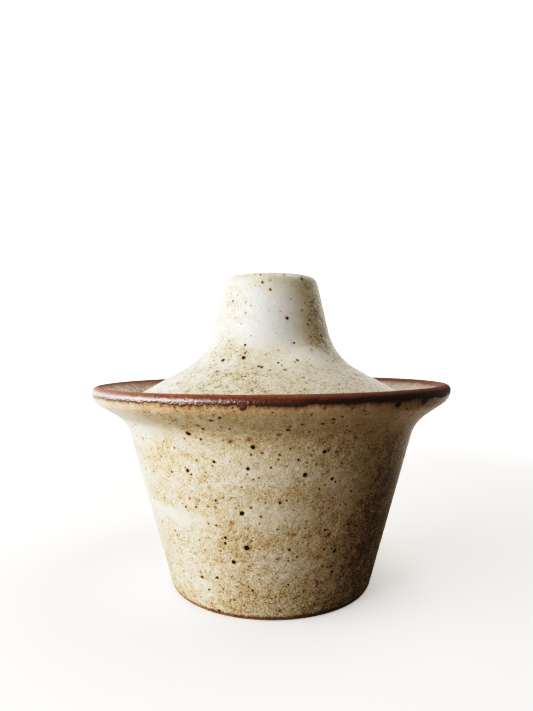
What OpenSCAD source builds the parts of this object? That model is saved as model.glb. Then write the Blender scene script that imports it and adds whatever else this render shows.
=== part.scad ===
// Butter crock: a wheel-thrown stoneware crock that holds a little cold water, and a hat-shaped lid
// that carries an inverted cup, the butter bell, down into it.
// Millimetres, +Z up. The origin is the centre of the foot, on the surface the crock stands on.

/* [Crock] */
// Outer diameter of the lip, the widest place
rim_d = 150; // [140:1:165]
// Height of the crock at its lip
crock_h = 84.1; // [76:0.1:92]
// Outer diameter of the foot
base_d = 85; // [78:1:94]
// Width of the flared rim outside the straight wall
flare_w = 13.65; // [12:0.05:15.5]
// Height of the flared rim above the straight wall
flare_h = 14.6; // [13:0.1:16]
// Height of the upright outer face of the lip, to its sharp corners
lip_h = 5.4; // [4.5:0.1:6]
// Width of the top of the lip, to its sharp corners
lip_w = 2.5; // [1.8:0.1:3]
// Radius of the hollow curve between wall and flare
belt_round = 16; // [8:1:17]
// Radius of the underside of the lip
lip_under_round = 6.2; // [4:0.1:6.4]
// Radius of the outer edge on top of the lip
lip_edge_round = 2.2; // [1:0.1:2.6]
// Radius of the inner edge on top of the lip
lip_inner_round = 0.9; // [0.5:0.1:1.2]
// Thickness of the wall
wall_t = 5; // [4.4:0.1:5.6]
// Height of the floor inside
floor_h = 7; // [6:0.5:8]
// Radius of the corner between floor and wall inside
floor_round = 8; // [4:0.5:10]

/* [Foot] */
// Width of the foot ring that the crock stands on
foot_w = 7.5; // [6:0.5:10]
// Depth of the trimmed hollow inside the foot ring
foot_recess = 1.8; // [1:0.1:2.2]
// Rounding of the bottom edges
foot_round = 0.8; // [0.3:0.1:1]

/* [Lid seat] */
// Depth of the seat below the top of the lip
seat_depth = 10.9; // [9.5:0.1:12.2]
// Width of the ledge that the lid rests on
seat_w = 4; // [3.5:0.1:4.5]
// Gap between the edge of the lid and the step around the ledge
lid_gap = 0.5; // [0.3:0.1:0.8]
// Rounding of the edges at the seat
seat_round = 0.8; // [0.3:0.1:1]

/* [Lid] */
// Height of the lid from its seat to the top of its knob
lid_h = 56.8; // [50:0.1:62]
// Diameter of the flat top of the knob, measured to the sharp corner
knob_d = 40; // [36:0.5:44]
// Rounding of the edge of the knob
knob_round = 3.7; // [2:0.1:5]
// Diameter at the neck, where the knob meets the shoulder
neck_d = 55.7; // [53:0.1:58]
// Height of the neck above the seat
neck_h = 22.4; // [21:0.1:24]
// Radius of the hollow curve at the neck
neck_round = 25; // [16:0.5:26]
// Radius of the same curve on the inside
neck_inner_round = 14; // [8:0.5:16]
// Thickness of the shell of the lid
lid_t = 5; // [4.5:0.1:5.5]
// Thickness of the top of the knob
knob_top_t = 6; // [5:0.1:8]
// Thickness of the edge of the lid
edge_t = 4.1; // [3.6:0.1:4.6]
// Rounding of the top edge of the lid
edge_round = 1.8; // [1:0.1:2]
// Width of the flat ring under the lid
ring_w = 6.2; // [5.5:0.1:7]

/* [Butter bell] */
// Height of the mouth of the bell above the floor of the crock
mouth_gap = 10; // [6:0.5:16]
// Gap between the mouth of the bell and the wall of the crock
wall_gap = 3.5; // [2.5:0.1:5]
// How much wider the bell is at its closed end, on the radius
bell_draft = 2.5; // [1:0.1:4]
// Thickness of the wall of the bell
bell_t = 4.5; // [4:0.1:5]
// Thickness of the closed end of the bell
bell_end_t = 5; // [4:0.1:6]
// Rounding of the outer edge of the closed end
bell_end_round = 2.5; // [1:0.1:3]
// Radius of the corner inside the closed end
bell_inner_round = 6; // [4:0.5:8]
// Height of the collar under the lid that the bell is joined to
collar_h = 2.5; // [2.4:0.1:4]
// Width of that collar
collar_w = 6.5; // [5:0.1:8]
// Diameter of the hole that lets air out of the hollow lid
vent_d = 1.6; // [1.2:0.1:1.8]

/* [Hidden] */
$fn = 96;
ARC_STEP = 5; // degrees of turn to each short side of a rounded corner
PAST = 0.5; // how far a cut runs past the face it opens

rim_r = rim_d / 2;
base_r = base_d / 2;

// The belt is where the straight wall turns out into the flared rim.
belt_r = rim_r - flare_w;
belt_z = crock_h - flare_h;

// Straight wall: its inner radius at a height.
wall_slope = (belt_r - base_r) / belt_z;
wall_across = wall_t * sqrt(1 + wall_slope * wall_slope);
function wall_in(z) = base_r + wall_slope * z - wall_across;

// Flared rim: its inner radius at a height, and its inner height at a radius.
lip_z = crock_h - lip_h;
lip_in_r = rim_r - lip_w;
flare_slope = flare_w / (flare_h - lip_h);
function flare_in_z(r) = crock_h - (lip_in_r - r) / flare_slope;

// Seat of the lid: a ledge with a low step around it.
seat_z = crock_h - seat_depth;
seat_in_r = wall_in(seat_z);
seat_out_r = seat_in_r + seat_w;

// Lid: all its heights count from the seat.
lid_r = seat_out_r - lid_gap;
ring_in_r = lid_r - ring_w;
edge_z = seat_z + edge_t;
neck_r = neck_d / 2;
neck_z = seat_z + neck_h;
knob_r = knob_d / 2;
knob_z = seat_z + lid_h;

// Shoulder and neck as lines, and the same lines one shell thickness inside.
shoulder_slope = (lid_r - neck_r) / (neck_z - edge_z);
shoulder_down = lid_t * sqrt(1 + 1 / (shoulder_slope * shoulder_slope));
function under_z(r) = neck_z - shoulder_down - (r - neck_r) / shoulder_slope;
neck_slope = (neck_r - knob_r) / (knob_z - neck_z);
neck_across = lid_t * sqrt(1 + neck_slope * neck_slope);
function neck_in(z) = neck_r - neck_across - (z - neck_z) * neck_slope;
knob_in_z = knob_z - knob_top_t;
// Where the two inner lines meet.
neck_in_z = neck_z - (shoulder_slope * shoulder_down - neck_across) / (shoulder_slope - neck_slope);

// Butter bell: it hangs from the collar, and its mouth keeps its gaps to floor and wall.
mouth_z = floor_h + mouth_gap;
mouth_r = wall_in(mouth_z) - wall_gap;
bell_r = mouth_r + bell_draft;
collar_in_r = bell_r - collar_w;
bell_z = under_z(bell_r) - collar_h;

// The vector turned into one of length 1.
function unit(v) = v / norm(v);

// The arc that rounds a corner, between the directions back and on along its two sides.
function corner_arc(corner, back, on, half, round) =
    let (
        centre = corner + unit(back + on) * round / sin(half),
        first = corner + back * round / tan(half) - centre,
        last = corner + on * round / tan(half) - centre,
        turn = 180 - 2 * half,
        way = sign(first.x * last.y - first.y * last.x),
        start = atan2(first.y, first.x),
        steps = max(2, ceil(turn / ARC_STEP))
    )
    [for (i = [0:steps]) centre + round * [cos(start + way * turn * i / steps),
                                           sin(start + way * turn * i / steps)]];

// A closed outline through corners [r, z, rounding]. On a side that is too short for the arcs at
// its two ends, both are made smaller by the same share, to leave a fiftieth of the side straight.
function outline(corners) =
    let (
        n = len(corners),
        at = [for (c = corners) [c.x, c.y]],
        side = [for (i = [0:n - 1]) at[(i + 1) % n] - at[i]],
        half = [for (i = [0:n - 1]) acos(-unit(side[(i + n - 1) % n]) * unit(side[i])) / 2],
        reach = [for (i = [0:n - 1]) corners[i].z / tan(half[i])],
        share = [for (i = [0:n - 1])
            min(1, 0.98 * norm(side[i]) / max(0.01, reach[i] + reach[(i + 1) % n]))]
    )
    [for (i = [0:n - 1])
        let (round = corners[i].z * min(share[i], share[(i + n - 1) % n]))
        each round < 0.01
            ? [at[i]]
            : corner_arc(at[i], -unit(side[(i + n - 1) % n]), unit(side[i]), half[i], round)];

// Half of a thrown section, given by its corners, turned about the Z axis.
module thrown(corners) {
    rotate_extrude()
        polygon(outline(corners));
}

// The pot: foot ring, straight flared wall, lip, and the ledge inside it that carries the lid.
module crock() {
    color("#cfc5a8")
        thrown([
            [0, foot_recess, 0],
            [base_r - foot_w, foot_recess, foot_recess / 2],
            [base_r - foot_w, 0, foot_round],
            [base_r, 0, foot_round],
            [belt_r, belt_z, belt_round],
            [rim_r, lip_z, lip_under_round],
            [rim_r, crock_h, lip_edge_round],
            [lip_in_r, crock_h, lip_inner_round],
            [seat_out_r, flare_in_z(seat_out_r), seat_round],
            [seat_out_r, seat_z, seat_round],
            [seat_in_r, seat_z, seat_round],
            [wall_in(floor_h), floor_h, floor_round],
            [0, floor_h, 0]
        ]);
}

// The lid: a hollow hat with a flat-topped knob, a flat ring that sits on the ledge,
// and a collar under its shoulder for the bell. A small hole lets the air out of the hollow.
module lid() {
    color("#d6cfb4")
        difference() {
            thrown([
                [lid_r, seat_z, seat_round],
                [lid_r, edge_z, edge_round],
                [neck_r, neck_z, neck_round],
                [knob_r, knob_z, knob_round],
                [0, knob_z, 0],
                [0, knob_in_z, 0],
                [neck_in(knob_in_z), knob_in_z, lid_t],
                [neck_in(neck_in_z), neck_in_z, neck_inner_round],
                [collar_in_r, under_z(collar_in_r), seat_round],
                [collar_in_r, bell_z, seat_round],
                [bell_r, bell_z, seat_round],
                [bell_r, under_z(bell_r), seat_round],
                [ring_in_r, under_z(ring_in_r), seat_round],
                [ring_in_r, seat_z, seat_round]
            ]);
            translate([0, 0, bell_z + collar_h / 2])
                rotate([0, 90, 90])
                    cylinder(h = bell_r + PAST, d = vent_d);
        }
}

// The butter bell: an upside-down cup with a closed top, thrown by itself and joined to the collar.
module butter_bell() {
    color("#c9bd9c")
        thrown([
            [mouth_r, mouth_z, bell_t / 2],
            [bell_r, bell_z, bell_end_round],
            [0, bell_z, 0],
            [0, bell_z - bell_end_t, 0],
            [bell_r - bell_t, bell_z - bell_end_t, bell_inner_round],
            [mouth_r - bell_t, mouth_z, bell_t / 2]
        ]);
}

crock();
lid();
butter_bell();
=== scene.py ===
import math

import bmesh
import bpy
from mathutils import Matrix, Vector, noise


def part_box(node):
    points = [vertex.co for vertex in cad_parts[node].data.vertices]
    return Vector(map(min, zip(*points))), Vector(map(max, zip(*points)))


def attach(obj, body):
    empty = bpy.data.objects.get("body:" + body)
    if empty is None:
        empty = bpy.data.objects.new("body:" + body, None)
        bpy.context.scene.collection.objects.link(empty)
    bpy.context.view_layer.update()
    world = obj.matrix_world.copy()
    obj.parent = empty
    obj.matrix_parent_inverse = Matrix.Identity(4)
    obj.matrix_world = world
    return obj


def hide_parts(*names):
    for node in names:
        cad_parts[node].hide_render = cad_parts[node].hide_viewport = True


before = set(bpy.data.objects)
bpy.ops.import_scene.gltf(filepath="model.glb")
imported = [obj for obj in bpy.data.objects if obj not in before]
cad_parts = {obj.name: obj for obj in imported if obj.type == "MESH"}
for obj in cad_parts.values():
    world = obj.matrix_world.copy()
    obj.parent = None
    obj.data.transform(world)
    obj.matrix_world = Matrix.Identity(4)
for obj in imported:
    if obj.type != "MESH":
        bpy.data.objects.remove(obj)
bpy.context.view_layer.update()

# ---------------------------------------------------------------------------------------------
# The pot. A stoneware crock thrown on the wheel: straight tapered wall, flared rim with a rolled
# lip, and a ledge inside the rim for the lid. Its foot is trimmed and left bare; the rest is dipped
# in an oatmeal glaze, and the lip is brushed with iron oxide that melts into the glaze.

MM = 0.001
RING_STEP = 1.5  # mm, the most between two rings of a thrown mesh
ROUND_STEPS = 192  # steps once round the wheel
ARC_SHARE = 0.98  # the most of a side that the arcs at its ends take up

crock_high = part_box("crock")[1]
rim_r = crock_high.x / MM
crock_h = crock_high.z / MM
base_r = 42.5
wall_t = 5
floor_h = 7
floor_round = 8

# The flared rim begins at the belt, where the wall turns out, and ends in the lip.
flare_w = 13.65
flare_h = 14.6
belt_round = 16
lip_h = 5.4
lip_w = 2.5
lip_under_round = 6.2
lip_edge_round = 2.2
lip_inner_round = 0.9

# The ledge that the lid sits on, measured down from the lip.
seat_depth = 10.9
seat_w = 4
seat_round = 0.8

# The foot ring, and the edge of the glaze above it.
foot_w = 7.5
foot_recess = 1.8
foot_round = 0.8
base_round = 0.7
glaze_edge_h = 1.2  # the glaze stops this far above the table
glaze_t = 0.25  # and stands this proud of the bare clay
glaze_round = 0.3
glaze_step_h = 0.2

belt_r = rim_r - flare_w
belt_z = crock_h - flare_h
lip_z = crock_h - lip_h
lip_in_r = rim_r - lip_w
seat_z = crock_h - seat_depth
wall_slope = (belt_r - base_r) / belt_z
wall_across = wall_t * math.hypot(1, wall_slope)
flare_slope = (rim_r - belt_r) / (lip_z - belt_z)


def wall_out(z):
    """Outer radius of the straight wall at a height."""
    return base_r + wall_slope * z


def wall_in(z):
    """Inner radius of the straight wall at a height."""
    return wall_out(z) - wall_across


def rounded(corners):
    """The outline through corners (radius, height, rounding), with an arc in place of each corner.
    On a side too short for the arcs at its two ends, both are made smaller by the same share."""
    at = [Vector(corner[:2]) for corner in corners]
    sides = [end - start for start, end in zip(at, at[1:] + at[:1])]
    halves = [(-sides[i - 1]).angle(side) / 2 for i, side in enumerate(sides)]
    reach = [corner[2] / math.tan(half) for corner, half in zip(corners, halves)]
    share = [min(1, ARC_SHARE * side.length / max(0.01, near + far))
             for side, near, far in zip(sides, reach, reach[1:] + reach[:1])]
    points = []
    for i, half in enumerate(halves):
        radius = corners[i][2] * min(share[i], share[i - 1])
        if radius < 0.01:
            points.append(at[i])
            continue
        back = -sides[i - 1].normalized()
        on = sides[i].normalized()
        middle = at[i] + (back + on).normalized() * radius / math.sin(half)
        first = at[i] + back * radius / math.tan(half) - middle
        last = at[i] + on * radius / math.tan(half) - middle
        turn = math.remainder(math.atan2(last.y, last.x) - math.atan2(first.y, first.x),
                              2 * math.pi)
        steps = max(5, math.ceil(radius * abs(turn) / RING_STEP))
        points += [middle + Matrix.Rotation(turn * i / steps, 2) @ first for i in range(steps + 1)]
    return points


def throw(name, corners, unevenness):
    """A solid turned on the wheel from half of its section, then left as uneven as by hand."""
    bm = bmesh.new()
    verts = [bm.verts.new((p.x * MM, 0, p.y * MM)) for p in rounded(corners)]
    for start, end in zip(verts, verts[1:] + verts[:1]):
        if max(start.co.x, end.co.x) > 0:
            bm.edges.new((start, end))
    while long_edges := [e for e in bm.edges if e.calc_length() > RING_STEP * MM]:
        bmesh.ops.subdivide_edges(bm, edges=long_edges, cuts=1)
    bmesh.ops.spin(bm, geom=bm.verts[:] + bm.edges[:], cent=(0, 0, 0), axis=(0, 0, 1),
                   angle=2 * math.pi, steps=ROUND_STEPS, use_merge=True)
    bmesh.ops.remove_doubles(bm, verts=bm.verts, dist=1e-7)
    bmesh.ops.recalc_face_normals(bm, faces=bm.faces)
    bm.normal_update()
    moves = [(v, unevenness(v.co / MM, v.normal) * MM) for v in bm.verts]
    for vert, move in moves:
        vert.co += move
    mesh = bpy.data.meshes.new(name)
    bm.to_mesh(mesh)
    bm.free()
    mesh.polygons.foreach_set("use_smooth", [True] * len(mesh.polygons))
    piece = bpy.data.objects.new(name, mesh)
    bpy.context.scene.collection.objects.link(piece)
    return piece


def ease(low, high, value):
    """0 below low, 1 above high, and a smooth step between them."""
    share = min(1, max(0, (value - low) / (high - low)))
    return share * share * (3 - 2 * share)


def rings(at, normal, depth, spacing):
    """The spiral that fingers leave on a thrown wall, pressed into it by up to depth, in mm."""
    if depth < 0.001:
        return Vector()
    turn = math.atan2(at.y, at.x) / (2 * math.pi)
    fade = 0.5 + 0.5 * noise.noise(Vector((at.x, at.y, at.z * 3)) / 40)
    wave = 0.5 - 0.5 * math.cos(2 * math.pi * (at.z / spacing + turn))
    return normal * (-depth * fade * wave)


LIP_TILT = 0.008  # mm of height for each mm across
OUT_OF_ROUND = 0.25  # mm


def crock_unevenness(at, normal):
    """The lip is not quite level or round; the inside keeps its throwing rings."""
    radius = math.hypot(at.x, at.y)
    if radius > wall_out(at.z) - 1.5:
        wall = rings(at, normal, depth=0.1 * ease(4, 10, at.z) * (1 - ease(60, 68, at.z)),
                     spacing=5)
    else:
        wall = rings(at, normal, depth=0.3 * ease(8, 14, at.z) * (1 - ease(66, 70, at.z)),
                     spacing=7)
    flared = ease(63, 68, radius)
    if not flared:
        return wall
    level = Vector((0, 0, LIP_TILT * at.x)) * ease(67, 80, at.z) * flared
    out_of_round = OUT_OF_ROUND * noise.noise(at / 45) * flared
    return wall + level - Vector((at.x, at.y, 0)) * (out_of_round / radius)


seat_out_r = wall_in(seat_z) + seat_w
bare_h = glaze_edge_h - glaze_step_h
crock = throw("crock_glazed", [
    (0, foot_recess, 0),
    (base_r - foot_w, foot_recess, foot_recess / 2),
    (base_r - foot_w, 0, foot_round),
    (base_r - glaze_t, 0, base_round),
    (wall_out(bare_h) - glaze_t, bare_h, glaze_step_h),
    (wall_out(glaze_edge_h), glaze_edge_h, glaze_round),
    (belt_r, belt_z, belt_round),
    (rim_r, lip_z, lip_under_round),
    (rim_r, crock_h, lip_edge_round),
    (lip_in_r, crock_h, lip_inner_round),
    (seat_out_r, crock_h - (lip_in_r - seat_out_r) / flare_slope, seat_round),
    (seat_out_r, seat_z, seat_round),
    (wall_in(seat_z), seat_z, seat_round),
    (wall_in(floor_h), floor_h, floor_round),
    (0, floor_h, 0),
], crock_unevenness)
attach(crock, "crock")
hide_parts("crock")


def colour(hex_code):
    """A colour given as sRGB hex, in the linear values that shaders take."""
    parts = [int(hex_code[i:i + 2], 16) / 255 for i in (0, 2, 4)]
    return [p / 12.92 if p <= 0.04045 else ((p + 0.055) / 1.055) ** 2.4 for p in parts] + [1]


def add(tree, kind, inputs=None, **settings):
    """Adds a node with its settings, and sets or links its inputs."""
    node = tree.nodes.new(kind)
    for name, value in settings.items():
        setattr(node, name, value)
    for key, value in (inputs or {}).items():
        if isinstance(value, bpy.types.NodeSocket):
            tree.links.new(value, node.inputs[key])
        else:
            node.inputs[key].default_value = value
    return node


def new_material(name):
    """An empty node material, with the place in millimetres that its patterns are drawn on."""
    material = bpy.data.materials.new(name)
    material.use_nodes = True
    tree = material.node_tree
    tree.nodes.clear()
    place = add(tree, "ShaderNodeTexCoord").outputs["Object"]
    place = add(tree, "ShaderNodeVectorMath", {0: place, "Scale": 1 / MM},
                operation="SCALE").outputs[0]
    return material, tree, place


# Iron specks in the clay that melt through the glaze: mm between them, the largest radius in mm,
# and the share of them that show. Most melt to rust, and the rest to black.
SPECKS = [(2, 0.34, 0.5), (3.2, 0.56, 0.58), (7, 0.85, 0.5)]
RUSTY_SHARE = 0.65
FAR = 9  # a distance that no speck reaches

# The shares of full thickness that a glaze's tones stand for.
THICKNESSES = [0.22, 0.32, 0.41, 0.5, 0.58, 0.7, 0.88]

# The glaze is uneven at three sizes, in mm: the grain, the mottle and the cloud. The real grain,
# about 0.2 mm, is too fine to show and is drawn at 0.6 mm. Thin glaze breaks up over the clay and
# thick glaze runs smooth, so their effect goes from THIN_BREAKS to THICK_BREAKS.
GRAIN, GRAIN_WEIGHT = 0.6, 0.52
MOTTLE, MOTTLE_WEIGHT = 3, 0.28
CLOUD, CLOUD_WEIGHT = 24, 0.2
THIN_BREAKS, THICK_BREAKS = 2.7, 0.6

# The patches wander by up to half of the first of these, in mm, and the edges of specks by half
# of the second.
WANDER = 22
SHIVER = 0.6

# The relief of the glaze, in mm: thick glaze over thin, the mottle, and the pit of a black speck.
GLAZE_RELIEF = 0.16
MOTTLE_RELIEF = 0.2
PIT = -0.08

GLAZE_IOR = 1.5


def patches(tree, place, zones_and_painted_light):
    """The sum of soft-edged patches, each a centre, three half-widths in mm, and a strength."""
    total = 0
    for middle, half_widths, strength in zones_and_painted_light:
        away = add(tree, "ShaderNodeVectorMath", {0: place, 1: middle},
                   operation="SUBTRACT").outputs[0]
        away = add(tree, "ShaderNodeVectorMath", {0: away, 1: half_widths},
                   operation="DIVIDE").outputs[0]
        away = add(tree, "ShaderNodeVectorMath", {0: away}, operation="LENGTH").outputs["Value"]
        patch = add(tree, "ShaderNodeMapRange", {"Value": away, "From Min": 1.1, "From Max": 0.2,
                                                 "To Min": 0, "To Max": strength},
                    interpolation_type="SMOOTHSTEP").outputs[0]
        total = add(tree, "ShaderNodeMath", {0: patch, 1: total}, operation="ADD").outputs[0]
    return total


def nearest(tree, place, spots, share):
    """The lesser of share and how far the nearest spot is, as a share of that spot's radius."""
    for x, y, z, radius in spots:
        away = add(tree, "ShaderNodeVectorMath", {0: place, 1: (x, y, z)}, operation="DISTANCE")
        away = add(tree, "ShaderNodeMath", {0: away.outputs["Value"], 1: 1 / radius},
                   operation="MULTIPLY")
        share = add(tree, "ShaderNodeMath", {0: away.outputs[0], 1: share},
                    operation="MINIMUM").outputs[0]
    return share


def oatmeal_glaze(tree, place, tones, zones_and_painted_light, black_spots, rusty_spots):
    """Stoneware glaze, satin and slightly pitted: white where it lies thick, tan where it is
    thin, with iron specks. The eye gets a soft sheen over a warm, grainy surface, and no sharp
    reflection. The tones run from thin glaze to thick. Returns its colour, roughness and height
    in mm."""
    turned = add(tree, "ShaderNodeMapping",
                 {"Vector": place, "Rotation": (0.4, 0.9, 0.6)}).outputs[0]
    grain = add(tree, "ShaderNodeTexNoise",
                {"Vector": turned, "Scale": 1 / GRAIN, "Detail": 2, "Roughness": 0.6})
    mottle = add(tree, "ShaderNodeTexNoise",
                 {"Vector": turned, "Scale": 1 / MOTTLE, "Detail": 3, "Roughness": 0.6})
    flat = add(tree, "ShaderNodeVectorMath", {0: place, 1: (1, 1, 1.8)},
               operation="MULTIPLY").outputs[0]
    cloud = add(tree, "ShaderNodeTexNoise",
                {"Vector": flat, "Scale": 1 / CLOUD, "Detail": 3, "Roughness": 0.55})
    wander = add(tree, "ShaderNodeVectorMath", {0: cloud.outputs["Color"], 1: (0.5, 0.5, 0.5)},
                 operation="SUBTRACT").outputs[0]
    wander = add(tree, "ShaderNodeVectorMath", {0: wander, "Scale": WANDER},
                 operation="SCALE").outputs[0]
    zone_place = add(tree, "ShaderNodeVectorMath", {0: place, 1: wander},
                     operation="ADD").outputs[0]
    uneven = -0.5
    weights = [(grain, GRAIN_WEIGHT), (mottle, MOTTLE_WEIGHT), (cloud, CLOUD_WEIGHT)]
    for pattern, weight in weights:
        uneven = add(tree, "ShaderNodeMath", {0: pattern.outputs["Fac"], 1: weight, 2: uneven},
                     operation="MULTIPLY_ADD").outputs[0]
    # On the pot and the lid some of these patches are painted light and shade: they make the glaze
    # paler or darker where the window lights it or leaves it, as marked where they are listed.
    zone_and_painted_light = patches(tree, zone_place, zones_and_painted_light)
    breaking = add(tree, "ShaderNodeMapRange", {"Value": zone_and_painted_light, "From Min": -0.2, "From Max": 0.1,
                                                "To Min": THIN_BREAKS,
                                                "To Max": THICK_BREAKS}).outputs[0]
    thick = add(tree, "ShaderNodeMath", {0: uneven, 1: breaking, 2: zone_and_painted_light},
                operation="MULTIPLY_ADD").outputs[0]
    thick = add(tree, "ShaderNodeMath", {0: thick, 1: 0.5}, operation="ADD").outputs[0]
    ramp = add(tree, "ShaderNodeValToRGB", {"Fac": thick})
    for stop, position, hex_code in zip(ramp.color_ramp.elements, (0, 1), tones[::len(tones) - 1]):
        stop.position = position
        stop.color = colour(hex_code)
    for position, hex_code in zip(THICKNESSES, tones):
        ramp.color_ramp.elements.new(position).color = colour(hex_code)
    tint = ramp.outputs["Color"]

    shiver = add(tree, "ShaderNodeTexNoise", {"Vector": place, "Scale": 1 / SHIVER, "Detail": 1})
    shiver = add(tree, "ShaderNodeVectorMath", {0: shiver.outputs["Color"], 1: (0.5, 0.5, 0.5)},
                 operation="SUBTRACT").outputs[0]
    shiver = add(tree, "ShaderNodeVectorMath", {0: shiver, "Scale": SHIVER},
                 operation="SCALE").outputs[0]
    spot_place = add(tree, "ShaderNodeVectorMath", {0: place, 1: shiver},
                     operation="ADD").outputs[0]
    # Thick glaze covers the specks, apart from the black and rusty marks placed one by one.
    cover = add(tree, "ShaderNodeMapRange", {"Value": thick, "From Min": 0.66, "From Max": 0.8,
                                             "To Min": 0, "To Max": 2}).outputs[0]
    black = nearest(tree, spot_place, black_spots, FAR)
    rusty = nearest(tree, spot_place, rusty_spots, FAR)
    for spacing, radius, share in SPECKS:
        cells = add(tree, "ShaderNodeTexVoronoi", {"Vector": spot_place, "Scale": 1 / spacing})
        parts = add(tree, "ShaderNodeSeparateColor", {0: cells.outputs["Color"]})
        size = add(tree, "ShaderNodeMapRange",
                   {"Value": parts.outputs[0], "From Min": 1 - share, "From Max": 1,
                    "To Min": 0.4 * radius / spacing, "To Max": radius / spacing})
        away = add(tree, "ShaderNodeMath", {0: cells.outputs["Distance"], 1: size.outputs[0]},
                   operation="DIVIDE")
        away = add(tree, "ShaderNodeMath", {0: away.outputs[0], 1: cover}, operation="ADD")
        hidden = add(tree, "ShaderNodeMath", {0: parts.outputs[0], 1: 1 - share},
                     operation="LESS_THAN")
        away = add(tree, "ShaderNodeMath", {0: hidden.outputs[0], 1: FAR, 2: away.outputs[0]},
                   operation="MULTIPLY_ADD").outputs[0]
        is_black = add(tree, "ShaderNodeMath", {0: parts.outputs[1], 1: RUSTY_SHARE},
                       operation="GREATER_THAN")
        is_rusty = add(tree, "ShaderNodeMath", {0: parts.outputs[1], 1: RUSTY_SHARE},
                       operation="LESS_THAN")
        far = add(tree, "ShaderNodeMath", {0: is_black.outputs[0], 1: FAR, 2: away},
                  operation="MULTIPLY_ADD")
        rusty = add(tree, "ShaderNodeMath", {0: far.outputs[0], 1: rusty},
                    operation="MINIMUM").outputs[0]
        far = add(tree, "ShaderNodeMath", {0: is_rusty.outputs[0], 1: FAR, 2: away},
                  operation="MULTIPLY_ADD")
        black = add(tree, "ShaderNodeMath", {0: far.outputs[0], 1: black},
                    operation="MINIMUM").outputs[0]
    bloom = add(tree, "ShaderNodeMath", {0: black, 1: rusty}, operation="MINIMUM").outputs[0]
    # A speck stains the glaze round it. Each layer starts and is full at so many of its radii, and
    # has a strength and a colour.
    layers = [(bloom, 2, 1, 0.5, "A47A46"), (rusty, 1.7, 1, 0.35, "8E5A30"),
              (rusty, 1.15, 0.6, 0.95, "552A12"), (black, 1.3, 1, 1, "6A3A1C"),
              (black, 1.05, 0.85, 1, "220D06")]
    for near, start, end, most, hex_code in layers:
        share = add(tree, "ShaderNodeMapRange", {"Value": near, "From Min": start, "From Max": end,
                                                 "To Min": 0, "To Max": most}).outputs[0]
        tint = add(tree, "ShaderNodeMix", {"Factor": share, 6: tint, 7: colour(hex_code)},
                   data_type="RGBA").outputs[2]
    height = add(tree, "ShaderNodeMath", {0: thick, 1: GLAZE_RELIEF},
                 operation="MULTIPLY").outputs[0]
    height = add(tree, "ShaderNodeMath", {0: mottle.outputs["Fac"], 1: MOTTLE_RELIEF, 2: height},
                 operation="MULTIPLY_ADD").outputs[0]
    height = add(tree, "ShaderNodeMath", {0: share, 1: PIT, 2: height},
                 operation="MULTIPLY_ADD").outputs[0]
    rough = add(tree, "ShaderNodeMapRange", {"Value": thick, "From Min": 0.35, "From Max": 0.7,
                                             "To Min": 0.26, "To Max": 0.38}).outputs[0]
    return tint, rough, height


def on(profile_r, azimuth, height, radius):
    """A spot on a turned surface: degrees from the front towards +X, then mm."""
    angle = math.radians(azimuth)
    return (profile_r * math.sin(angle), -profile_r * math.cos(angle), height, radius)


def on_wall(azimuth, height, radius):
    """A spot on the outside of the pot's wall."""
    return on(wall_out(height), azimuth, height, radius)


material, tree, place = new_material("oatmeal_glaze_on_pot")
up = add(tree, "ShaderNodeSeparateXYZ", {0: place}).outputs[2]
across = add(tree, "ShaderNodeVectorMath", {0: place, 1: (1, 1, 0)},
             operation="MULTIPLY").outputs[0]
across = add(tree, "ShaderNodeVectorMath", {0: across}, operation="LENGTH").outputs["Value"]
# The patches belong to the outside, so below the ledge the inside takes its pattern from far away.
PATTERN_BELOW = (0, 0, -200)
cone = add(tree, "ShaderNodeMath", {0: up, 1: -wall_slope, 2: across},
           operation="MULTIPLY_ADD").outputs[0]
below = add(tree, "ShaderNodeMath", {0: up, 1: seat_z + 0.5}, operation="LESS_THAN").outputs[0]
inside = add(tree, "ShaderNodeMath", {0: cone, 1: base_r - wall_across / 2},
             operation="LESS_THAN").outputs[0]
inside = add(tree, "ShaderNodeMath", {0: inside, 1: below}, operation="MULTIPLY").outputs[0]
moved = add(tree, "ShaderNodeVectorMath", {0: PATTERN_BELOW, "Scale": inside},
            operation="SCALE").outputs[0]
moved = add(tree, "ShaderNodeVectorMath", {0: place, 1: moved}, operation="ADD").outputs[0]

POT_TONES = ["452A12", "84623A", "AE9872", "C0B299", "CEC6B4", "D8D5CC", "DADBD7"]
# Patches of thicker and thinner glaze, with painted light and shade among them where noted.
POT_PATCHES_AND_PAINTED_LIGHT = [
    ((-52, 36, 82), (36, 44, 8), -0.16),  # inside the rim, painted shade on the side turned away from the window
    ((56, 36, 82), (34, 44, 8), 0.16),  # and painted light on the side that faces it
    ((-50, -12, 42), (18, 30, 46), 0.1),  # the side facing the window, paler as painted sheen
    ((-54, -36, 76), (30, 30, 14), 0.2),  # and the flare above it, paler as painted light from that side
    ((51, -12, 40), (8, 13, 44), 0.1),  # a pale strip along the right edge: painted reflection of the wall
    ((-36, -36, 37), (20, 30, 5), 0.1),  # a cloudy white band, where the glaze was poured twice
    ((-2, -52, 41), (22, 20, 6), 0.06),
    ((24, -46, 49), (14, 20, 7), 0.06),
    ((-2, -56, 64), (40, 24, 16), 0.03),  # a little thicker under the rim
    ((12, -64, 77), (50, 24, 8), 0.04),
    ((50, -24, 28), (34, 42, 52), -0.25),  # the brown side away from the window: thin glaze, and painted shade
    ((22, -44, 6), (40, 24, 16), -0.05),  # and the part above the foot, likewise partly painted shade
]
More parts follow.
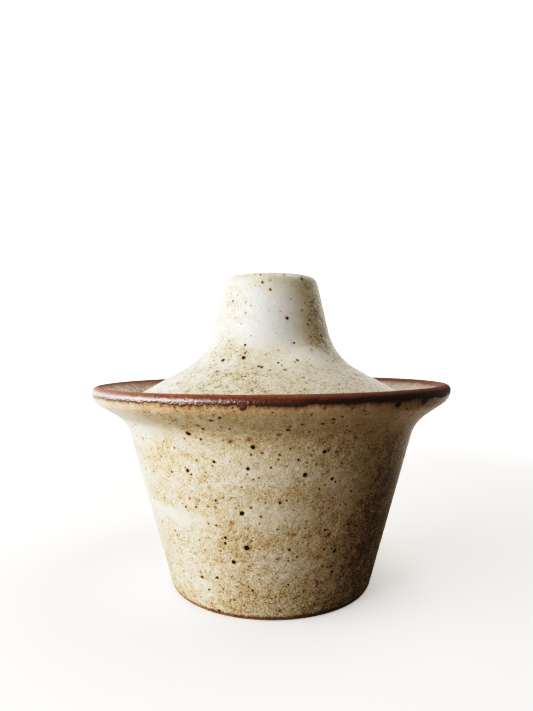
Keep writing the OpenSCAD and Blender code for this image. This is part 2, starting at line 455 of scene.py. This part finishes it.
# The marks that stand out, one by one: black melts, then rusty ones.
POT_BLACK = [
    on_wall(11, 56, 0.65), on_wall(-10, 29, 0.9), on_wall(-11, 42, 0.7), on_wall(-16, 23, 0.7),
    on_wall(-6, 66, 0.7), on_wall(21, 54, 0.5), on_wall(17, 64, 0.6), on_wall(27, 26, 0.6),
    on(70, 47, 78, 0.6),
]
POT_RUSTY = [
    on_wall(-7, 69, 1), on(64, 2, 70, 0.8), on(67, -21, 74, 0.9), on_wall(-13, 68, 0.8),
    on(66, -32, 74, 0.7),
]
tint, rough, height = oatmeal_glaze(tree, moved, POT_TONES, POT_PATCHES_AND_PAINTED_LIGHT, POT_BLACK, POT_RUSTY)

# The iron band on the lip: near black where it lies thick, as it does on one side, and worn to
# dry rust on the crest. That side is the one away from the window, and its darkness is partly
# painted shade. It looks wet and a little crumpled, with broken highlights. Its lower edge bleeds
# into the glaze in short drips, and inside the rim it is narrower and thin enough to show the
# glaze; that paler band is partly a painted sheen. Lengths are in mm, and heights are above the
# table.
BAND_EDGE = 82.9, 83.5  # the heights where the band starts and is whole
BAND_TILT = -0.006  # height for each mm across, because the lip isn't level
RAGGED, RAGGED_DEPTH = 1.3, 2.6  # the tatters of the lower edge
DRIP_W, DRIP_DEPTH = 8, 2
CRUMPLE, CRUMPLE_DEPTH = 0.8, 4  # the broken edge between the dark part and the worn crest
LIP_TURN = 0.6  # either side of the lip's inner edge, where the outside gives way to the inside
NARROWER = -1.7  # inside the rim
CREST_LOWER = -1.3  # the share of that by which the worn crest reaches down inside
THIN_INSIDE = 0.65  # the strength of the band's colours inside the rim, where the paler band is partly painted sheen
LADEN_AND_PAINTED_SHADE = 1.8  # how much higher the dark part reaches on the laden side, partly as painted shade
WORN = 2.2, 1  # below the crest, where the shine starts to go and is nearly gone
SHINE_INSIDE, SHINE_LADEN, SHINE_WORN = 0.6, 0.12, 0.15
DRY_ROUGHNESS, WET_ROUGHNESS = 0.75, 0.42
IRON_RELIEF = 0.25
drip_place = add(tree, "ShaderNodeVectorMath", {0: place, 1: (1, 1, 0.25)},
                 operation="MULTIPLY").outputs[0]
ragged = add(tree, "ShaderNodeTexNoise",
             {"Vector": drip_place, "Scale": 1 / RAGGED, "Detail": 4, "Roughness": 0.7})
drips = add(tree, "ShaderNodeTexNoise", {"Vector": drip_place, "Scale": 1 / DRIP_W, "Detail": 1})
narrower = add(tree, "ShaderNodeMapRange",
               {"Value": across, "From Min": lip_in_r + LIP_TURN, "From Max": lip_in_r - LIP_TURN,
                "To Min": 0, "To Max": NARROWER}).outputs[0]
level = add(tree, "ShaderNodeVectorMath", {0: place, 1: (BAND_TILT, 0, 1)},
            operation="DOT_PRODUCT").outputs["Value"]
edge = add(tree, "ShaderNodeMath", {0: ragged.outputs["Fac"], 1: RAGGED_DEPTH, 2: level},
           operation="MULTIPLY_ADD").outputs[0]
edge = add(tree, "ShaderNodeMath", {0: drips.outputs["Fac"], 1: DRIP_DEPTH, 2: edge},
           operation="MULTIPLY_ADD").outputs[0]
drip = patches(tree, place, [(on(rim_r, -7, 80, 0)[:3], (1.6, 2, 1.6), 1.8),
                             (on(rim_r, 44, 80, 0)[:3], (3, 4, 2), 1.4),
                             (on(rim_r, 33, 79.6, 0)[:3], (2, 2.4, 1.7), 2.2)])
edge = add(tree, "ShaderNodeMath", {0: edge, 1: drip}, operation="ADD").outputs[0]
fade = add(tree, "ShaderNodeTexNoise", {"Vector": place, "Scale": 1 / CRUMPLE, "Detail": 2})
crest = add(tree, "ShaderNodeMath", {0: fade.outputs["Fac"], 1: CRUMPLE_DEPTH, 2: edge},
            operation="MULTIPLY_ADD").outputs[0]
crest = add(tree, "ShaderNodeMath", {0: narrower, 1: CREST_LOWER, 2: crest},
            operation="MULTIPLY_ADD").outputs[0]
# The laden side faces away from the window: the darker band there is partly painted shade.
laden_and_painted_shade = patches(tree, place, [((56, -50, 82), (70, 50, 20), LADEN_AND_PAINTED_SHADE)])
crest = add(tree, "ShaderNodeMath", {0: crest, 1: laden_and_painted_shade}, operation="SUBTRACT").outputs[0]
edge = add(tree, "ShaderNodeMath", {0: edge, 1: narrower}, operation="ADD").outputs[0]
brown = add(tree, "ShaderNodeMath", {0: edge, 1: laden_and_painted_shade}, operation="SUBTRACT").outputs[0]
# Inside the rim the band's colours are weakened, which also paints the sheen seen there.
thin_and_painted_sheen = add(tree, "ShaderNodeMapRange",
           {"Value": across, "From Min": lip_in_r - LIP_TURN, "From Max": lip_in_r + LIP_TURN,
            "To Min": THIN_INSIDE, "To Max": 1}).outputs[0]
# From the stain below the band to the worn crest, each with the heights where it starts and is
# full, its strength and its colour.
layers = [(edge, 78.5, 82.5, 0.45, "A06C3A"), (edge, 81.8, 83, 0.65, "6E4220"),
          (edge, 82.9, 83.3, 0.95, "2E1408"), (brown, 83.4, 84.2, 0.85, "6A361A"),
          (crest, 87, 88.5, 0.85, "86502F")]
for value, start, end, most, hex_code in layers:
    share = add(tree, "ShaderNodeMapRange", {"Value": value, "From Min": start, "From Max": end,
                                             "To Min": 0, "To Max": most}).outputs[0]
    share = add(tree, "ShaderNodeMath", {0: share, 1: thin_and_painted_sheen}, operation="MULTIPLY").outputs[0]
    tint = add(tree, "ShaderNodeMix", {"Factor": share, 6: tint, 7: colour(hex_code)},
               data_type="RGBA").outputs[2]
band = add(tree, "ShaderNodeMapRange",
           {"Value": edge, "From Min": BAND_EDGE[0], "From Max": BAND_EDGE[1]}).outputs[0]
# The band shines under a coat of glass, but less inside the rim, where it is laden and where it
# is worn.
gloss = add(tree, "ShaderNodeMapRange",
            {"Value": across, "From Min": lip_in_r - LIP_TURN, "From Max": lip_in_r + LIP_TURN,
             "To Min": SHINE_INSIDE, "To Max": 1}).outputs[0]
gloss = add(tree, "ShaderNodeMath", {0: band, 1: gloss}, operation="MULTIPLY").outputs[0]
matt = add(tree, "ShaderNodeMapRange", {"Value": laden_and_painted_shade, "From Min": 0, "From Max": LADEN_AND_PAINTED_SHADE,
                                        "To Min": 1, "To Max": SHINE_LADEN}).outputs[0]
gloss = add(tree, "ShaderNodeMath", {0: gloss, 1: matt}, operation="MULTIPLY").outputs[0]
worn = add(tree, "ShaderNodeMapRange",
           {"Value": up, "From Min": crock_h - WORN[0], "From Max": crock_h - WORN[1],
            "To Min": 1, "To Max": SHINE_WORN}).outputs[0]
gloss = add(tree, "ShaderNodeMath", {0: gloss, 1: worn}, operation="MULTIPLY").outputs[0]
dry = add(tree, "ShaderNodeMapRange",
          {"Value": gloss, "To Min": DRY_ROUGHNESS, "To Max": WET_ROUGHNESS}).outputs[0]
rough = add(tree, "ShaderNodeMix", {"Factor": band, 2: rough, 3: dry}).outputs[0]
relief = add(tree, "ShaderNodeMath", {0: fade.outputs["Fac"], 1: band},
             operation="MULTIPLY").outputs[0]
height = add(tree, "ShaderNodeMath", {0: relief, 1: IRON_RELIEF, 2: height},
             operation="MULTIPLY_ADD").outputs[0]


SAND = 0.7  # mm; the real sand is about 0.3 mm, and is drawn coarser so that it shows
TRIM_STEP = 0.9  # mm between the lines that the trimming tool cuts, which are finer on real clay
TOAST = 10  # mm, the size of the kiln's darker and paler places
CLAY_RELIEF = 0.15  # mm
CLAY_ROUGHNESS = 0.88


def bare_clay(tree, place, finish, above, toasted, pale):
    """Clay left bare below the glaze's edge, from the height above it in mm. It is dry, matt and
    gritty to the eye, toasted unevenly by the kiln, with a dark line of iron where the glaze stops.
    The finish is a colour, a roughness and a height in mm."""
    tint, rough, height = finish
    sand = add(tree, "ShaderNodeTexNoise",
               {"Vector": place, "Scale": 1 / SAND, "Detail": 3, "Roughness": 0.6})
    toast = add(tree, "ShaderNodeTexNoise", {"Vector": place, "Scale": 1 / TOAST, "Detail": 3})
    clay = add(tree, "ShaderNodeMath", {0: toast.outputs["Fac"], 1: 1.5, 2: sand.outputs["Fac"]},
               operation="MULTIPLY_ADD").outputs[0]
    clay = add(tree, "ShaderNodeMapRange",
               {"Value": clay, "From Min": 0.9, "From Max": 1.65}).outputs[0]
    clay = add(tree, "ShaderNodeMix", {"Factor": clay, 6: colour(toasted), 7: colour(pale)},
               data_type="RGBA").outputs[2]
    grit = add(tree, "ShaderNodeMapRange",
               {"Value": sand.outputs["Fac"], "From Min": 0.37, "From Max": 0.31,
                "To Min": 0, "To Max": 0.8}).outputs[0]
    clay = add(tree, "ShaderNodeMix", {"Factor": grit, 6: clay, 7: colour("3A2212")},
               data_type="RGBA").outputs[2]
    line = add(tree, "ShaderNodeMapRange", {"Value": above, "From Min": 1.2, "From Max": 0.1,
                                            "To Min": 0, "To Max": 0.9}).outputs[0]
    tint = add(tree, "ShaderNodeMix", {"Factor": line, 6: tint, 7: colour("4E2C14")},
               data_type="RGBA").outputs[2]
    bare = add(tree, "ShaderNodeMapRange", {"Value": above, "From Min": 0, "From Max": -0.2,
                                            "To Min": 0, "To Max": 1}).outputs[0]
    tint = add(tree, "ShaderNodeMix", {"Factor": bare, 6: tint, 7: clay},
               data_type="RGBA").outputs[2]
    rough = add(tree, "ShaderNodeMix", {"Factor": bare, 2: rough, 3: CLAY_ROUGHNESS}).outputs[0]
    trim = add(tree, "ShaderNodeTexWave", {"Vector": place, "Scale": math.pi / (10 * TRIM_STEP),
                                           "Distortion": 1.5, "Detail": 1},
               wave_type="RINGS", rings_direction="Z").outputs["Fac"]
    relief = add(tree, "ShaderNodeMath", {0: trim, 1: 0.4, 2: sand.outputs["Fac"]},
                 operation="MULTIPLY_ADD").outputs[0]
    relief = add(tree, "ShaderNodeMath", {0: relief, 1: bare}, operation="MULTIPLY").outputs[0]
    height = add(tree, "ShaderNodeMath", {0: relief, 1: CLAY_RELIEF, 2: height},
                 operation="MULTIPLY_ADD").outputs[0]
    return tint, rough, height


# The foot and the ledge are wiped clean of glaze, which would stick to the kiln shelf and to the
# lid. The foot's clay is toasted darker than the ledge's.
FOOT_CLAY = "744A2A", "A27C56"
SEAT_CLAY = "94704C", "C2A680"
FOOT_RAGGED = 1.6  # mm, how unevenly the glaze stops above the foot
LEDGE_RAGGED = 0.6  # and round the ledge
foot = add(tree, "ShaderNodeMath", {0: ragged.outputs["Fac"], 1: FOOT_RAGGED, 2: up},
           operation="MULTIPLY_ADD").outputs[0]
foot = add(tree, "ShaderNodeMath", {0: foot, 1: glaze_edge_h + 0.7},
           operation="SUBTRACT").outputs[0]
tint, rough, height = bare_clay(tree, place, (tint, rough, height), foot, *FOOT_CLAY)
outer = add(tree, "ShaderNodeMath", {0: across, 1: seat_out_r + 0.6},
            operation="GREATER_THAN").outputs[0]
ledge = add(tree, "ShaderNodeMath", {0: up, 1: seat_z + 0.9}, operation="SUBTRACT").outputs[0]
ledge = add(tree, "ShaderNodeMath", {0: ledge}, operation="ABSOLUTE").outputs[0]
ledge = add(tree, "ShaderNodeMath", {0: ragged.outputs["Fac"], 1: LEDGE_RAGGED, 2: ledge},
            operation="MULTIPLY_ADD").outputs[0]
ledge = add(tree, "ShaderNodeMath", {0: outer, 1: FAR, 2: ledge},
            operation="MULTIPLY_ADD").outputs[0]
ledge = add(tree, "ShaderNodeMath", {0: ledge, 1: 2}, operation="SUBTRACT").outputs[0]
tint, rough, height = bare_clay(tree, place, (tint, rough, height), ledge, *SEAT_CLAY)

bump = add(tree, "ShaderNodeBump", {"Height": height, "Distance": MM, "Strength": 1})
# Iron makes the coat's glass denser than the plain glaze, so it shines more.
shader = add(tree, "ShaderNodeBsdfPrincipled",
             {"Base Color": tint, "Roughness": rough, "IOR": GLAZE_IOR, "Normal": bump.outputs[0],
              "Coat Weight": gloss, "Coat IOR": 1.75, "Coat Roughness": 0.38,
              "Coat Normal": bump.outputs[0]})
add(tree, "ShaderNodeOutputMaterial", {"Surface": shader.outputs[0]})
crock.data.materials.append(material)

# ---------------------------------------------------------------------------------------------
# The lid. A hollow hat thrown upside down: flat ring that sits on the ledge, sloping shoulder,
# neck and flat-topped knob, and a collar inside for the bell. Same clay and glaze as the pot.

lid_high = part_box("lid")[1]
bell_low, bell_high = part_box("butter_bell")
lid_r = lid_high.x / MM
knob_z = lid_high.z / MM
bell_r = bell_high.x / MM
bell_z = bell_high.z / MM
lid_t = 5
ring_w = 6.2
edge_t = 4.1
edge_round = 1.8
neck_r = 27.85
neck_h = 22.4
neck_round = 25
neck_inner_round = 14
knob_r = 20
knob_round = 3.7
knob_top_t = 6
collar_w = 6.5
collar_h = 2.5
vent_r = 0.8

ring_in_r = lid_r - ring_w
edge_z = seat_z + edge_t
neck_z = seat_z + neck_h
shoulder_slope = (lid_r - neck_r) / (neck_z - edge_z)
shoulder_down = lid_t * math.hypot(1, 1 / shoulder_slope)
neck_slope = (neck_r - knob_r) / (knob_z - neck_z)
neck_across = lid_t * math.hypot(1, neck_slope)
collar_in_r = bell_r - collar_w
knob_in_z = knob_z - knob_top_t
neck_in_z = neck_z - (shoulder_slope * shoulder_down - neck_across) / (shoulder_slope - neck_slope)


def under_z(r):
    """Height of the underside of the shoulder at a radius."""
    return neck_z - shoulder_down - (r - neck_r) / shoulder_slope


def neck_in(z):
    """Inner radius of the neck at a height."""
    return neck_r - neck_across - (z - neck_z) * neck_slope


def lid_unevenness(at, normal):
    """Faint rings on the shoulder and neck; the seat stays true."""
    return rings(at, normal, depth=0.12 * ease(79, 84, at.z) * (1 - ease(124, 128, at.z)),
                 spacing=6)


lid = throw("lid_glazed", [
    (lid_r, seat_z, seat_round),
    (lid_r, edge_z, edge_round),
    (neck_r, neck_z, neck_round),
    (knob_r, knob_z, knob_round),
    (0, knob_z, 0),
    (0, knob_in_z, 0),
    (neck_in(knob_in_z), knob_in_z, lid_t),
    (neck_in(neck_in_z), neck_in_z, neck_inner_round),
    (collar_in_r, under_z(collar_in_r), seat_round),
    (collar_in_r, bell_z, seat_round),
    (bell_r, bell_z, seat_round),
    (bell_r, under_z(bell_r), seat_round),
    (ring_in_r, under_z(ring_in_r), seat_round),
    (ring_in_r, seat_z, seat_round),
], lid_unevenness)

# A pinhole through the collar lets the air out of the knob when the lid is fired.
vent_z = bell_z + collar_h / 2
bm = bmesh.new()
bmesh.ops.create_cone(bm, cap_ends=True, segments=24, radius1=vent_r * MM, radius2=vent_r * MM,
                      depth=bell_r * MM)
bmesh.ops.rotate(bm, verts=bm.verts, matrix=Matrix.Rotation(math.radians(90), 3, "X"))
bmesh.ops.translate(bm, verts=bm.verts, vec=(0, bell_r * MM * 0.6, vent_z * MM))
mesh = bpy.data.meshes.new("pin")
bm.to_mesh(mesh)
bm.free()
pin = bpy.data.objects.new("pin", mesh)
bpy.context.scene.collection.objects.link(pin)
hole = lid.modifiers.new("hole", "BOOLEAN")
hole.operation = "DIFFERENCE"
hole.object = pin
pierced = bpy.data.meshes.new_from_object(lid.evaluated_get(bpy.context.evaluated_depsgraph_get()))
lid.modifiers.clear()
whole = lid.data
lid.data = pierced
bpy.data.objects.remove(pin)
bpy.data.meshes.remove(mesh)
bpy.data.meshes.remove(whole)
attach(lid, "lid")
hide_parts("lid")

LID_TONES = ["5E4A30", "917F5C", "B2A88E", "C1B9A2", "CCC7B6", "CFCEC7", "D0D3D2"]
# Patches of thicker and thinner glaze, with a painted reflection among them where noted.
LID_PATCHES_AND_PAINTED_LIGHT = [
    ((0, 0, 119), (60, 60, 26), 0.06),  # thick on the knob
    ((2, -26, 108), (19, 30, 22), 0.2),  # and a cool white down its front: thick glaze, and partly a painted reflection of the window
    ((0, 0, 84), (80, 80, 14), -0.05),  # thin towards the edge
    ((-30, -20, 86), (70, 60, 16), -0.03),
    ((20, -18, 112), (16, 21, 21), -0.13),  # a bare-looking olive patch beside the white
    ((-18, -14, 110), (13, 20, 24), -0.06),  # and a thinner place on its other side
    ((17, -27, 96), (10, 9, 5), 0.2),  # a pool of glaze below the olive patch
]
LID_BLACK = [
    on(25, 15, 111, 0.8), on(27, 30, 99, 0.6), on(31, -20, 95, 0.8), on(32, -36, 94, 0.8),
    on(36, -17, 92, 0.7), on(32, 18, 94, 0.6), on(35, -8, 92, 0.5),
]
LID_RUSTY = [on(37, 8, 91, 0.7), on(38, -33, 90, 0.7)]
material, tree, place = new_material("oatmeal_glaze_on_lid")
tint, rough, height = oatmeal_glaze(tree, place, LID_TONES, LID_PATCHES_AND_PAINTED_LIGHT, LID_BLACK, LID_RUSTY)

# The ring that sits on the ledge is wiped clean of glaze, less sharply than the ledge is.
WIPED, WIPED_RAGGED = 2, 0.8  # mm, along the edge and across it
up = add(tree, "ShaderNodeSeparateXYZ", {0: place}).outputs[2]
across = add(tree, "ShaderNodeVectorMath", {0: place, 1: (1, 1, 0)},
             operation="MULTIPLY").outputs[0]
across = add(tree, "ShaderNodeVectorMath", {0: across}, operation="LENGTH").outputs["Value"]
inner = add(tree, "ShaderNodeMath", {0: across, 1: ring_in_r - 0.6},
            operation="LESS_THAN").outputs[0]
ragged = add(tree, "ShaderNodeTexNoise", {"Vector": place, "Scale": 1 / WIPED, "Detail": 2})
ring = add(tree, "ShaderNodeMath", {0: ragged.outputs["Fac"], 1: WIPED_RAGGED, 2: up},
           operation="MULTIPLY_ADD").outputs[0]
ring = add(tree, "ShaderNodeMath", {0: inner, 1: FAR, 2: ring}, operation="MULTIPLY_ADD").outputs[0]
ring = add(tree, "ShaderNodeMath", {0: ring, 1: seat_z + 1.3}, operation="SUBTRACT").outputs[0]
tint, rough, height = bare_clay(tree, place, (tint, rough, height), ring, *SEAT_CLAY)

bump = add(tree, "ShaderNodeBump", {"Height": height, "Distance": MM, "Strength": 1})
shader = add(tree, "ShaderNodeBsdfPrincipled",
             {"Base Color": tint, "Roughness": rough, "IOR": GLAZE_IOR, "Normal": bump.outputs[0]})
add(tree, "ShaderNodeOutputMaterial", {"Surface": shader.outputs[0]})
lid.data.materials.append(material)

# ---------------------------------------------------------------------------------------------
# The butter bell. An upside-down cup, thrown by itself and joined to the lid's collar with slip.
# It is glazed inside and out, so that butter comes off it clean.

bell_t = 4.5
bell_draft = 2.5
bell_end_t = 5
bell_end_round = 2.5
bell_inner_round = 6
mouth_r = bell_r - bell_draft
mouth_z = bell_low.z / MM


def bell_unevenness(at, normal):
    """Throwing rings inside and out, away from the joint and the mouth."""
    return rings(at, normal, depth=0.2 * ease(20, 26, at.z) * (1 - ease(70, 75, at.z)), spacing=6)


bell = throw("bell_glazed", [
    (mouth_r, mouth_z, bell_t / 2),
    (bell_r, bell_z, bell_end_round),
    (0, bell_z, 0),
    (0, bell_z - bell_end_t, 0),
    (bell_r - bell_t, bell_z - bell_end_t, bell_inner_round),
    (mouth_r - bell_t, mouth_z, bell_t / 2),
], bell_unevenness)
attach(bell, "lid")
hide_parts("butter_bell")

BELL_TONES = ["5A4526", "8A7248", "B5A47C", "C6BAA0", "CEC7B7", "CFCCC4", "D2D4D3"]
BELL_PATCHES = [
    ((0, 0, 30), (80, 80, 30), 0.06),  # the glaze runs thicker towards the mouth
    ((0, 0, 72), (60, 60, 8), -0.05),  # and is thin at the collar, as far as the bell is dipped
]
material, tree, place = new_material("oatmeal_glaze_on_bell")
tint, rough, height = oatmeal_glaze(tree, place, BELL_TONES, BELL_PATCHES, [], [])

# The mouth, which the lid stands on in the kiln, is wiped clean of glaze.
up = add(tree, "ShaderNodeSeparateXYZ", {0: place}).outputs[2]
ragged = add(tree, "ShaderNodeTexNoise", {"Vector": place, "Scale": 1 / WIPED, "Detail": 2})
mouth = add(tree, "ShaderNodeMath", {0: ragged.outputs["Fac"], 1: WIPED_RAGGED, 2: up},
            operation="MULTIPLY_ADD").outputs[0]
mouth = add(tree, "ShaderNodeMath", {0: mouth, 1: mouth_z + 1.6}, operation="SUBTRACT").outputs[0]
tint, rough, height = bare_clay(tree, place, (tint, rough, height), mouth, *SEAT_CLAY)

bump = add(tree, "ShaderNodeBump", {"Height": height, "Distance": MM, "Strength": 1})
shader = add(tree, "ShaderNodeBsdfPrincipled",
             {"Base Color": tint, "Roughness": rough, "IOR": GLAZE_IOR, "Normal": bump.outputs[0]})
add(tree, "ShaderNodeOutputMaterial", {"Surface": shader.outputs[0]})
bell.data.materials.append(material)

# ---------------------------------------------------------------------------------------------
# The room. A pale floor that sweeps up into a backdrop, a window's soft light from the left, and
# the camera, level with the lid's neck. Its lengths are in metres, but its patterns are in mm.

FLOOR_FRONT = -3
FLOOR_BACK = 0.9
FLOOR_W = 8
SWEEP_R = 0.6
WALL_H = 4
bm = bmesh.new()
sweep = [(FLOOR_FRONT, 0), (FLOOR_BACK, 0)]
for angle in range(6, 91, 6):
    along, down = math.sin(math.radians(angle)), math.cos(math.radians(angle))
    sweep.append((FLOOR_BACK + SWEEP_R * along, SWEEP_R - SWEEP_R * down))
sweep.append((FLOOR_BACK + SWEEP_R, WALL_H))
line = [bm.verts.new((-FLOOR_W / 2, y, z)) for y, z in sweep]
edges = [bm.edges.new(pair) for pair in zip(line, line[1:])]
made = bmesh.ops.extrude_edge_only(bm, edges=edges)["geom"]
ends = [g for g in made if isinstance(g, bmesh.types.BMVert)]
bmesh.ops.translate(bm, verts=ends, vec=(FLOOR_W, 0, 0))
bmesh.ops.recalc_face_normals(bm, faces=bm.faces)
mesh = bpy.data.meshes.new("backdrop")
bm.to_mesh(mesh)
bm.free()
mesh.polygons.foreach_set("use_smooth", [True] * len(mesh.polygons))
backdrop = bpy.data.objects.new("backdrop", mesh)
bpy.context.scene.collection.objects.link(backdrop)

material, tree, place = new_material("matt_white_paint")
# The wall is lit evenly, so it glows a little, and is blown out to white where it is seen directly
# or reflected. What the floor throws back on the pot is held down, as a dull table would make it.
rays = add(tree, "ShaderNodeLightPath")
parts = add(tree, "ShaderNodeSeparateXYZ", {0: place})
wall = add(tree, "ShaderNodeMapRange",
           {"Value": parts.outputs[1], "From Min": 0, "From Max": 400}).outputs[0]
glow = add(tree, "ShaderNodeMath", {0: rays.outputs["Is Glossy Ray"], 1: 1.2, 2: 0.3},
           operation="MULTIPLY_ADD").outputs[0]
glow = add(tree, "ShaderNodeMath", {0: glow, 1: wall}, operation="MULTIPLY").outputs[0]
away = add(tree, "ShaderNodeVectorMath", {0: place}, operation="LENGTH").outputs["Value"]
far = add(tree, "ShaderNodeMapRange", {"Value": away, "From Min": 300, "From Max": 900,
                                       "To Min": 0.4, "To Max": 2}).outputs[0]
glow = add(tree, "ShaderNodeMath", {0: rays.outputs["Is Camera Ray"], 1: far, 2: glow},
           operation="MULTIPLY_ADD").outputs[0]
tint = add(tree, "ShaderNodeMix", {"Factor": rays.outputs["Is Camera Ray"], 6: colour("8C7C60"),
                                   7: colour("F2F1EE")}, data_type="RGBA").outputs[2]
shader = add(tree, "ShaderNodeBsdfPrincipled",
             {"Base Color": tint, "Roughness": 0.9, "Emission Color": colour("FFFFFF"),
              "Emission Strength": glow})
add(tree, "ShaderNodeOutputMaterial", {"Surface": shader.outputs[0]})
backdrop.data.materials.append(material)


def lamp(name, at, aim, size, power, hex_code):
    """A rectangular soft light at a place, facing a point. Its power is in watts."""
    light = bpy.data.lights.new(name, "AREA")
    light.shape = "RECTANGLE"
    light.size, light.size_y = size
    light.energy = power
    light.color = colour(hex_code)[:3]
    lit = bpy.data.objects.new(name, light)
    lit.location = at
    lit.visible_camera = False
    lit.rotation_euler = (Vector(aim) - Vector(at)).to_track_quat("-Z", "Y").to_euler()
    bpy.context.scene.collection.objects.link(lit)


# A broad cool window at the left, a weaker one behind it, and a little warm light from above.
DAYLIGHT = "FAFCFF"
POT_MIDDLE = (0, 0, 0.08)
LID_MIDDLE = (0, 0, 0.1)
lamp("window", at=(-0.98, -0.42, 0.29), aim=POT_MIDDLE, size=(1.4, 0.6), power=39,
     hex_code=DAYLIGHT)
lamp("window_far", at=(-0.75, 0.65, 0.35), aim=POT_MIDDLE, size=(0.9, 0.7), power=3.8,
     hex_code=DAYLIGHT)
lamp("skylight", at=(0.5, 0, 1.2), aim=LID_MIDDLE, size=(0.8, 0.8), power=12, hex_code="FFF9F2")

# Beyond the floor it is white to the camera, and nearly dark to everything else.
world = bpy.data.worlds.new("room")
world.use_nodes = True
tree = world.node_tree
seen = add(tree, "ShaderNodeLightPath").outputs["Is Camera Ray"]
seen = add(tree, "ShaderNodeMath", {0: seen, 1: 2, 2: 0.02}, operation="MULTIPLY_ADD").outputs[0]
tree.nodes["Background"].inputs["Color"].default_value = colour("FFFFFF")
tree.links.new(seen, tree.nodes["Background"].inputs["Strength"])
bpy.context.scene.world = world

# The camera's tone curve: highlights roll off softly, and shadows are a little deeper.
BRIGHTEST = 1.8
view = bpy.context.scene.view_settings
view.view_transform = "Standard"
view.use_curve_mapping = True
view.curve_mapping.white_level = [BRIGHTEST] * 3
TONES = [(0.1, 0.03), (0.3, 0.18), (0.6, 0.46), (1, 0.75)]  # light in, light out
for light_in, light_out in TONES:
    view.curve_mapping.curves[3].points.new(light_in / BRIGHTEST, light_out)
view.curve_mapping.update()

CAMERA_BACK = 235.4 * MM  # from the axis of the pot
CAMERA_SIDE = -1.88 * MM
CAMERA_HEIGHT = 96 * MM
FOCAL_LENGTH = 27.04  # mm
camera = bpy.data.cameras.new("camera")
camera.lens = FOCAL_LENGTH
camera.clip_start = 0.01
viewer = bpy.data.objects.new("camera", camera)
viewer.location = (CAMERA_SIDE, -CAMERA_BACK, CAMERA_HEIGHT)
viewer.rotation_euler = (math.radians(90), 0, 0)
bpy.context.scene.collection.objects.link(viewer)
bpy.context.scene.camera = viewer
